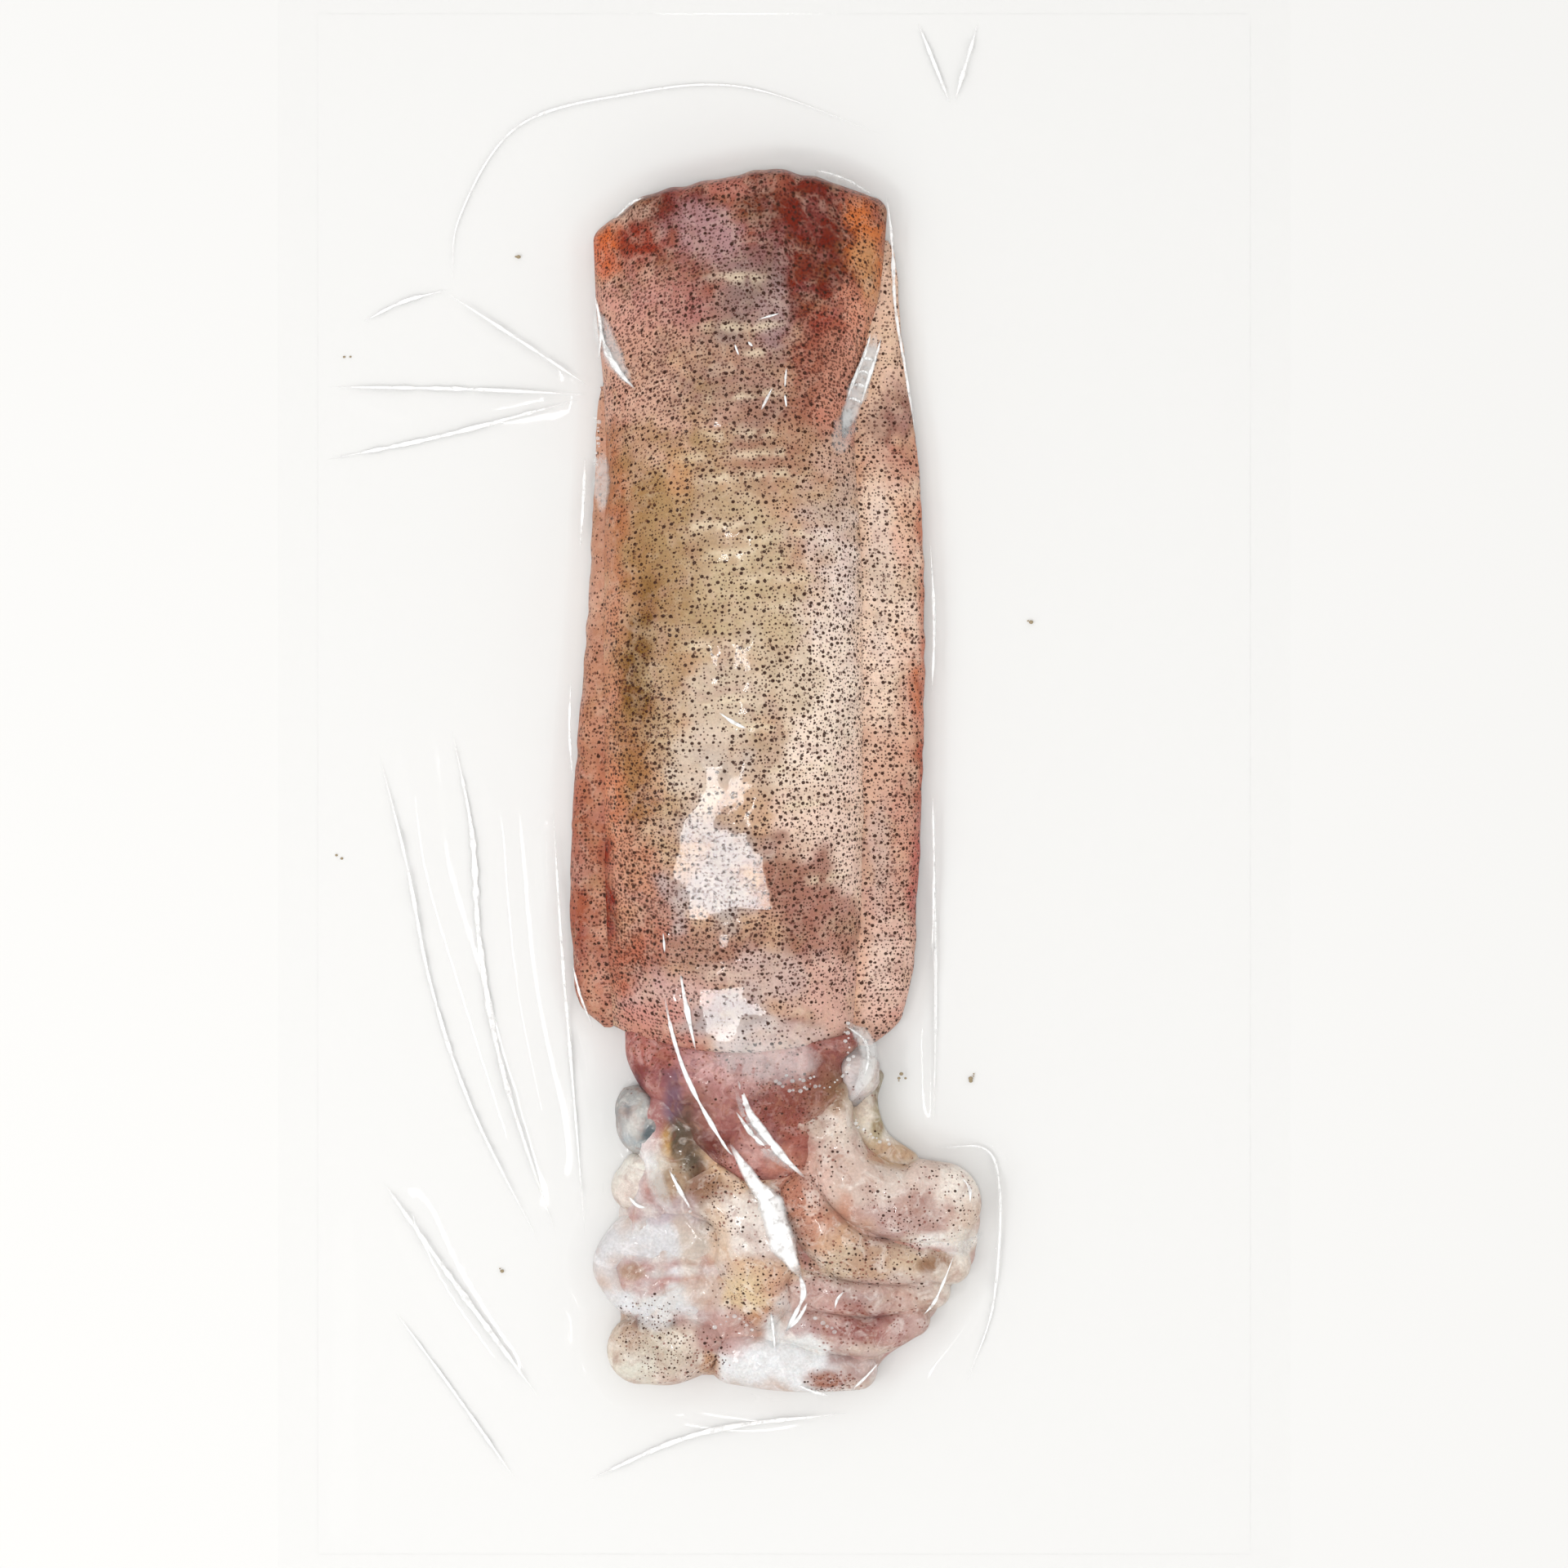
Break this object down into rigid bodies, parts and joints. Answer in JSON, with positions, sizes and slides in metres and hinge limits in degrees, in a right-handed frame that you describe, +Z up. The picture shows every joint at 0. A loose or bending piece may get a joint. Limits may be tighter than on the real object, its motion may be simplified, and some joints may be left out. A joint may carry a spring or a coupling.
{
  "type": "vacuum-packed raw squid",
  "caption": "Whole raw squid lying back up and flat in a clear sealed vacuum pouch, with its arms and tentacles curled together in front of the head.",
  "frame": {"origin": "middle of the pouch's flat underside, which lies on the table", "axes": "+Y from the arms towards the squid's tail, along the pouch's length; +Z up through the squid's back"},
  "size_m": [0.25, 0.4, 0.0257],
  "materials": {
    "film": "clear glossy vacuum-pouch film",
    "mantle_skin": "wet translucent skin with dark pigment spots",
    "fin_skin": "wet translucent skin with dark pigment spots",
    "head_skin": "wet translucent skin over dark flesh",
    "eye": "wet blue-grey eye under thin skin",
    "arm_skin": "wet translucent skin with dark pigment spots",
    "tentacle_flesh": "wet pale translucent flesh"
  },
  "bodies": {
    "root": {"pouch": "film", "mantle": "mantle_skin", "fin_left": "fin_skin", "fin_right": "fin_skin", "head": "head_skin", "eye_left": "eye", "eye_right": "eye", "arm_1": "arm_skin", "arm_2": "arm_skin", "arm_3": "arm_skin", "arm_4": "arm_skin", "arm_5": "arm_skin", "arm_6": "arm_skin", "arm_7": "arm_skin", "arm_8": "arm_skin", "tentacle_left": "tentacle_flesh", "tentacle_right": "tentacle_flesh"}
  },
  "joints": []
}
